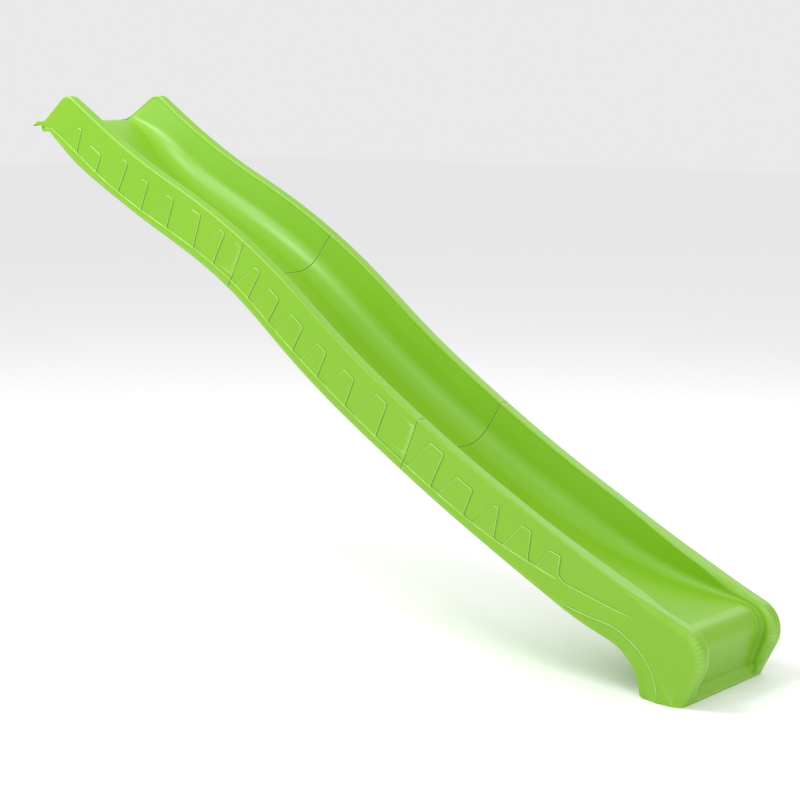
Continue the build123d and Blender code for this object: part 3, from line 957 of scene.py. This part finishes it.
    def add_beads(self, mesh: bmesh.types.BMesh) -> None:
        """Carries the strip's ridge on under each pad as a fine bead."""
        shape, bead = self.shape, self.shape.bead
        base = shape.half_width - shape.ridge
        for pad in self.pads:
            where = np.linspace(pad.start + 3.0, min(pad.start + pad.foot, bead.length - 8.0), 16)
            line, up = bead.at(where), left_of(bead.heading(where))
            rows = [self.place(line + up * off, base + out) for off, out in BEAD_PROFILE]
            self.add_sheet(mesh, np.array(rows))

    def frame_flats(self, mesh: bmesh.types.BMesh) -> None:
        """Gives each large flat face a narrow border of its own."""
        flats = [f for f in mesh.faces if len(f.verts) >= BORDERED_FACE_VERTS]
        bmesh.ops.inset_individual(mesh, faces=flats, thickness=FLAT_BORDER, use_even_offset=False)

    def flatten_middle(self, mesh: bmesh.types.BMesh) -> None:
        """Puts the verts of the middle plane exactly on it and keeps all verts within the slide's box."""
        low, high = self.box
        for vert in mesh.verts:
            if abs(vert.co.y) < ON_MIDDLE:
                vert.co.y = 0.0
            vert.co = [min(max(v, a), b) for v, a, b in zip(vert.co, low, high)]

    def close_ends(self, mesh: bmesh.types.BMesh) -> None:
        """Fills the section's open ends."""
        border = [e for e in mesh.edges if e.is_boundary]
        made = bmesh.ops.holes_fill(mesh, edges=border, sides=0)
        LOG.info("%s: %d edges at open ends, %d fills", self.node, len(border), len(made["faces"]))


class NodeBoard:
    """Adds nodes to one tree."""

    def __init__(self, tree: bpy.types.NodeTree) -> None:
        """Keeps the tree's nodes and links."""
        self.nodes, self.links = tree.nodes, tree.links

    def add(self, kind: str, inputs: dict[str | int, object] | None = None,
            **settings: object) -> bpy.types.Node:
        """Adds a node.

        Args:
            kind: of node.
            inputs: a value or another node's socket for each input.
            settings: properties of the node.

        Returns:
            The node.
        """
        node = self.nodes.new(kind)
        for label, value in settings.items():
            setattr(node, label, value)
        for label, value in (inputs or {}).items():
            if isinstance(value, bpy.types.NodeSocket):
                self.links.new(value, node.inputs[label])
            else:
                node.inputs[label].default_value = value
        return node

    def math(self, operation: str, *values: object, clamp: bool = False) -> bpy.types.NodeSocket:
        """The result of one sum."""
        node = self.add("ShaderNodeMath", dict(enumerate(values)), operation=operation, use_clamp=clamp)
        return node.outputs[0]

    def remap(self, value: bpy.types.NodeSocket, start: float, end: float,
              to: tuple[float, float] = (0.0, 1.0)) -> bpy.types.NodeSocket:
        """A value from one range carried over to another."""
        return self.add("ShaderNodeMapRange", {"Value": value, "From Min": start, "From Max": end,
                                               "To Min": to[0], "To Max": to[1]}).outputs[0]

    def noise(self, place: bpy.types.NodeSocket, scale: object, detail: float) -> bpy.types.NodeSocket:
        """Noise over places."""
        node = self.add("ShaderNodeTexNoise", {"Vector": place, "Scale": scale, "Detail": detail})
        return node.outputs["Fac"]

    def mix(self, share: bpy.types.NodeSocket, first: object, second: object) -> bpy.types.NodeSocket:
        """Two colours mixed."""
        return self.add("ShaderNodeMix", {"Factor": share, "A": first, "B": second},
                        data_type="RGBA").outputs["Result"]


class Shaders:
    """The shader node groups that the finishes share."""

    CLOUD_SCALE = 3.2
    GRAIN_SHARE = 0.10
    # Pointiness ranges for the painted highlight on raised edges and the painted shade in creases, and the
    # width in metres of the painted shade band along the seams.
    EDGE_HIGHLIGHT_RANGE = (0.512, 0.545)
    CREASE_SHADE_RANGE = (0.49, 0.44)
    SEAM_SHADE_BAND = (0.0022, 0.0010)

    def __init__(self, seams: tuple[SeamLine, SeamLine], shift: float) -> None:
        """Builds each group once, for seams that lie on these lines."""
        self.seams, self.shift = seams, shift
        self.grain = self.make_grain()
        self.painted_light = self.make_painted_light()

    def new_group(self, name: str, inputs: tuple[str, ...], outputs: tuple[str, ...]) -> bpy.types.NodeTree:
        """Starts a group with number inputs and outputs."""
        group = bpy.data.node_groups.new(name, "ShaderNodeTree")
        for way, labels in (("INPUT", inputs), ("OUTPUT", outputs)):
            for label in labels:
                group.interface.new_socket(label, in_out=way, socket_type="NodeSocketFloat")
        return group

    def make_grain(self) -> bpy.types.NodeTree:
        """Fine moulding grain, slow ripples of the skin and a cloud of tone, on Object coordinates."""
        group = self.new_group("moulded grain", ("Grain Scale", "Ripple Scale"), ("Height", "Cloud"))
        board = NodeBoard(group)
        source = board.add("NodeGroupInput").outputs
        place = board.add("ShaderNodeTexCoord").outputs["Object"]
        fine = board.math("MULTIPLY", board.noise(place, source["Grain Scale"], 3.0), self.GRAIN_SHARE)
        height = board.math("ADD", fine, board.noise(place, source["Ripple Scale"], 2.0))
        board.add("NodeGroupOutput", {"Height": height, "Cloud": board.noise(place, self.CLOUD_SCALE, 4.0)})
        return group

    def make_painted_light(self) -> bpy.types.NodeTree:
        """Painted highlights on raised edges, broken up by noise, and painted shade in creases and along the
        seams.
        """
        group = self.new_group("painted edge highlight and crease shade", ("Amount", "Scale"), ("Mask", "Crease"))
        board = NodeBoard(group)
        source = board.add("NodeGroupInput").outputs
        place = board.add("ShaderNodeTexCoord").outputs["Object"]
        bend = board.add("ShaderNodeNewGeometry").outputs["Pointiness"]
        seam = board.math("MAXIMUM", *(self.seam_shade(board, place, line) for line in self.seams))
        # Painted shade: creases and the bands along the seams are darkened in the colour.
        crease = board.math("MAXIMUM", board.remap(bend, *self.CREASE_SHADE_RANGE), seam)
        patches = board.noise(place, source["Scale"], 5.0)
        # Painted highlight: raised edges are lightened in the colour, in noisy patches, and not at the seams.
        edge_highlight = board.math("MULTIPLY", board.remap(bend, *self.EDGE_HIGHLIGHT_RANGE), patches)
        scaled = board.math("MULTIPLY", edge_highlight, source["Amount"])
        kept = board.math("SUBTRACT", scaled, seam, clamp=True)
        board.add("NodeGroupOutput", {"Mask": kept, "Crease": crease})
        return group

    def seam_shade(self, board: NodeBoard, place: bpy.types.NodeSocket,
                  line: SeamLine) -> bpy.types.NodeSocket:
        """A mask of the thin band along a seam, where painted shade darkens the joint and the painted edge
        highlight is left off.
        """
        # Painted shade: the band is set by distance from the seam's line in object space.
        across = line.downhill()
        low = np.array([line.low[0] + self.shift, line.low[1]]) / METRE
        along = board.add("ShaderNodeVectorMath", {0: place, 1: (across[0], 0.0, across[1])},
                          operation="DOT_PRODUCT")
        away = board.math("SUBTRACT", along.outputs["Value"], float(low @ across))
        return board.remap(board.math("ABSOLUTE", away), *self.SEAM_SHADE_BAND)


@dataclass(frozen=True)
class Finish:
    """A surface finish: two tones, a light tone painted on raised edges as a highlight, a dark tone painted
    in creases and along seams as shade, gloss and relief.
    """

    name: str
    tone: Colour
    light_tone: Colour
    # The light tone painted on raised edges as a highlight, and the dark tone painted in creases and along
    # seams as shade.
    highlight_tone: Colour
    crease_shade_tone: Colour
    metallic: float
    roughness: tuple[float, float]
    grain_scale: float
    ripple_scale: float
    bump: float
    bump_distance: float
    # Strength of the painted edge highlight, and the noise scale of its patches.
    painted_light: float
    specular: float = 0.5
    painted_highlight_scale: float = 34.0
    cloud_range: tuple[float, float] = (0.25, 0.75)

    def build(self, shaders: Shaders) -> bpy.types.Material:
        """Makes the finish's material.

        Args:
            shaders: the shared node groups.

        Returns:
            The material.
        """
        material = bpy.data.materials.new(self.name)
        material.use_nodes = True
        material.node_tree.nodes.clear()
        board = NodeBoard(material.node_tree)
        grain = self.add_group(board, shaders.grain, self.grain_scale, self.ripple_scale)
        painted_light = self.add_group(board, shaders.painted_light, self.painted_light, self.painted_highlight_scale)
        cloud = board.mix(grain["Cloud"], (*self.tone, 1.0), (*self.light_tone, 1.0))
        # Painted shade: the dark crease tone darkens creases and seams.
        shade = board.mix(painted_light["Crease"], cloud, (*self.crease_shade_tone, 1.0))
        bump = board.add("ShaderNodeBump", {"Strength": self.bump, "Distance": self.bump_distance,
                                            "Height": grain["Height"]})
        skin = board.add("ShaderNodeBsdfPrincipled", {
            # Painted highlight: the light edge tone lightens raised edges.
            "Base Color": board.mix(painted_light["Mask"], shade, (*self.highlight_tone, 1.0)),
            "Metallic": self.metallic, "Specular IOR Level": self.specular,
            "Roughness": board.remap(grain["Cloud"], *self.cloud_range, self.roughness),
            "Normal": bump.outputs["Normal"]})
        board.add("ShaderNodeOutputMaterial", {"Surface": skin.outputs["BSDF"]})
        return material

    def add_group(self, board: NodeBoard, group: bpy.types.NodeTree,
                  *values: float) -> bpy.types.NodeOutputs:
        """Puts a shared group in the material with its own values, and gives its outputs."""
        node = board.add("ShaderNodeGroup", node_tree=group)
        for socket, value in zip(node.inputs, values):
            socket.default_value = value
        return node.outputs


# The light edge tone is a painted highlight on raised edges; the dark crease tone is painted shade in creases
# and along the seams.
GREEN_PLASTIC = Finish(
    name="apple green polyethylene", tone=(0.192, 0.440, 0.010), light_tone=(0.218, 0.475, 0.014),
    highlight_tone=(0.55, 0.78, 0.26), crease_shade_tone=(0.10, 0.255, 0.005), metallic=0.0, roughness=(0.30, 0.40),
    grain_scale=950.0, ripple_scale=7.0, bump=0.30, bump_distance=0.0012, painted_light=1.5, specular=0.45)
# The light edge tone is a painted highlight on raised edges; the dark crease tone is painted shade in
# creases.
ZINC = Finish(
    name="bright zinc", tone=(0.55, 0.56, 0.57), light_tone=(0.68, 0.69, 0.70),
    highlight_tone=(0.80, 0.80, 0.80), crease_shade_tone=(0.38, 0.38, 0.39), metallic=1.0, roughness=(0.28, 0.42),
    grain_scale=1400.0, ripple_scale=60.0, bump=0.25, bump_distance=0.0002, painted_light=0.6)


@dataclass
class Hardware:
    """The bolts, nuts, washers and screws that hold the slide together and to its deck."""

    nodes: tuple[str, ...]

    def dress(self, frame: dict, material: bpy.types.Material) -> None:
        """Gives each plain node the zinc finish."""
        for name in self.nodes:
            piece = frame["nodes"][name]
            piece.data.materials.clear()
            piece.data.materials.append(material)
            LOG.info("%s: %d faces", name, len(piece.data.polygons))


@dataclass(frozen=True)
class SoftBox:
    """One square light that looks at a target."""

    name: str
    place: Place
    target: Place
    size: float
    power: float

    def hang(self) -> None:
        """Adds the light to the scene."""
        data = bpy.data.lights.new(self.name, "AREA")
        data.size, data.energy = self.size, self.power
        light = bpy.data.objects.new(self.name, data)
        light.location = self.place
        light.rotation_euler = (Vector(self.target) - Vector(self.place)).to_track_quat("-Z", "Y").to_euler()
        bpy.context.scene.collection.objects.link(light)


@dataclass
class Studio:
    """A pale floor, soft lights and the camera."""

    floor_size: float = 60.0
    floor_tone: float = 0.97
    floor_roughness: float = 0.9
    room_light: float = 0.82
    camera_place: Place = (3.9133, -4.5354, 1.623)
    camera_pitch: float = 81.0
    camera_turn: float = 40.0
    lens: float = 88.5
    soft_boxes: tuple[SoftBox, ...] = (
        SoftBox("key", (-3.4, -2.6, 4.4), (-0.5, 0.0, 1.0), 1.4, 105.0),
        SoftBox("top", (-0.9, -1.6, 4.2), (-0.2, 0.0, 0.9), 1.2, 50.0),
        SoftBox("fill", (3.6, -2.0, 3.2), (1.1, 0.0, 0.2), 2.0, 35.0),
        SoftBox("rim", (0.5, 4.2, 3.6), (0.0, 0.0, 0.8), 2.6, 30.0))

    def build(self) -> None:
        """Makes the stage and sets the scene's camera."""
        self.add_floor()
        self.add_lights()
        data = bpy.data.cameras.new("camera")
        data.lens = self.lens
        camera = bpy.data.objects.new("camera", data)
        camera.location = self.camera_place
        camera.rotation_euler = (math.radians(self.camera_pitch), 0.0, math.radians(self.camera_turn))
        bpy.context.scene.collection.objects.link(camera)
        bpy.context.scene.camera = camera

    def add_floor(self) -> None:
        """Lays the pale floor at the ground."""
        mesh = bmesh.new()
        bmesh.ops.create_grid(mesh, x_segments=2, y_segments=2, size=self.floor_size / 2)
        data = bpy.data.meshes.new("studio_floor")
        mesh.to_mesh(data)
        mesh.free()
        material = bpy.data.materials.new("pale floor")
        material.use_nodes = True
        skin = material.node_tree.nodes["Principled BSDF"]
        skin.inputs["Base Color"].default_value = (*[self.floor_tone] * 3, 1.0)
        skin.inputs["Roughness"].default_value = self.floor_roughness
        data.materials.append(material)
        floor = bpy.data.objects.new("studio_floor", data)
        bpy.context.scene.collection.objects.link(floor)
        floor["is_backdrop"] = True

    def add_lights(self) -> None:
        """Hangs the soft boxes and lights the room."""
        world = bpy.data.worlds.new("room")
        world.use_nodes = True
        light = world.node_tree.nodes["Background"].inputs
        light["Color"].default_value = (1.0, 1.0, 1.0, 1.0)
        light["Strength"].default_value = self.room_light
        bpy.context.scene.world = world
        bpy.context.scene.view_settings.view_transform = "Standard"
        for box in self.soft_boxes:
            box.hang()


def main() -> None:
    """Builds the slide, its hardware and its stage."""
    logging.basicConfig(level=logging.INFO, format="%(name)s: %(message)s")
    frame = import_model()
    start_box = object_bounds()
    shape = SlideShape()
    shift = start_box[0].x * METRE - shape.lip_tip[0]
    shaders = Shaders((UPPER_SEAM, LOWER_SEAM), shift)
    plastic, zinc = GREEN_PLASTIC.build(shaders), ZINC.build(shaders)
    sections = make_sections(shape, shift)
    for section in sections:
        section.box = start_box
        section.build(plastic, Slot.PLASTIC)
    shells = {section.node for section in sections}
    Hardware(tuple(sorted(set(frame["nodes"]) - shells))).dress(frame, zinc)
    Studio().build()


def make_sections(shape: SlideShape, shift: float) -> list[SlideSection]:
    """The three sections, from the deck down to the ground."""
    upper, lower = UPPER_SEAM, LOWER_SEAM
    top = SlideSection(
        "top_section", shape,
        (Station((-48, 1500), (-48, 1500), (-48, 1500), (-48, 1500), 0),
         Station((-28, 1515.5), (-28, 1515.5), (-28, 1500), (-28, 1500), 4),
         Station((-14, 1515.5), (-14, 1515.5), (-6, 1500), (-6, 1500), 4),
         Station((2, 1515.6), (0, 1515.5), (0, 1490), (0, 1490), 8),
         Station((28, 1534), (14, 1515.4), (10, 1481), (8, 1481), 10),
         Station((60, 1559), (28, 1514), (30, 1481), (13, 1489), 8),
         Station((94, 1586), (55, 1503), (50, 1471), (40, 1487), 8),
         Station((153, 1589), (100, 1482), (78, 1446), (90, 1466), 16),
         Station((300, 1495.5), (246, 1379), (220, 1347), (238, 1366), 16),
         Station((600, 1334), (538, 1217), (518, 1188), (530, 1200), 34)),
        (Pad(75, 75, 38, 18, 76), Pad(171, 90, 20, 62, 60), Pad(296, 86, 54, 33, 106),
         Pad(411, 90, 50, 38, 93), Pad(535, 96, 54, 36, 98), Pad(653, 110, 53, 44, 108),
         Pad(790, 72, 42, 30, 111)), None, upper, 872.0, shift=shift)
    middle = SlideSection(
        "middle_section", shape,
        (Station((1100, 1048.5), (1030, 930), (1010, 900), (1022, 915), 20),
         Station((1300, 896), (1233, 778), (1213, 747), (1225, 762), 24),
         Station((1500, 759.5), (1440, 640), (1422, 605), (1432, 624), 24)),
        (Pad(971, 70, 36, 28, 98), Pad(1065, 84, 22, 55, 85), Pad(1183, 94, 18, 68, 85),
         Pad(1314, 86, 24, 50, 85), Pad(1441, 94, 26, 54, 90), Pad(1579, 100, 32, 52, 109)),
        upper, lower, 1688.0, shift=shift)
    bottom = SlideSection(
        "bottom_section", shape,
        (Station((1800, 578), (1747, 461), (1735, 424), (1740, 441), 22),
         Station((2100, 419), (2062, 311), (2040, 260), (2055, 292), 36),
         Station((2300, 318), (2275, 243), (2264, 152), (2275, 223), 28),
         Station((2400, 273), (2380, 224), (2351, 99), (2380, 204), 24),
         Station((2462, 246), (2450, 213), (2386, 33), (2445, 194), 18),
         Station((2505, 228), (2488, 208.5), (2406, 0), (2480, 190), 16),
         Station((2530, 217), (2512, 205), (2424, 0), (2500, 186), 12),
         Station((2589, 150), (2553, 143), (2456, 0), (2527, 140), 26),
         Station((2575, 85), (2537, 86), (2474, 0), (2513, 90), 16),
         Station((2556, 50), (2525, 42), (2486, 0), (2500, 44), 10),
         Station((2540, 20), (2534, 12), (2495, 0), (2500, 28), 8),
         Station((2531, 0), (2531, 0), (2503, 0), (2500, 0), 8)),
        (Pad(1817, 104, 36, 62, 112), Pad(1949, 110, 34, 72, 84), Pad(2094, 86, 44, 22, 89),
         Pad(2212, 96, 36, 42, 85), Pad(2334, 98, 26, 46, 65)), lower, None, shift=shift)
    return [top, middle, bottom]


if __name__ == "__main__":
    main()
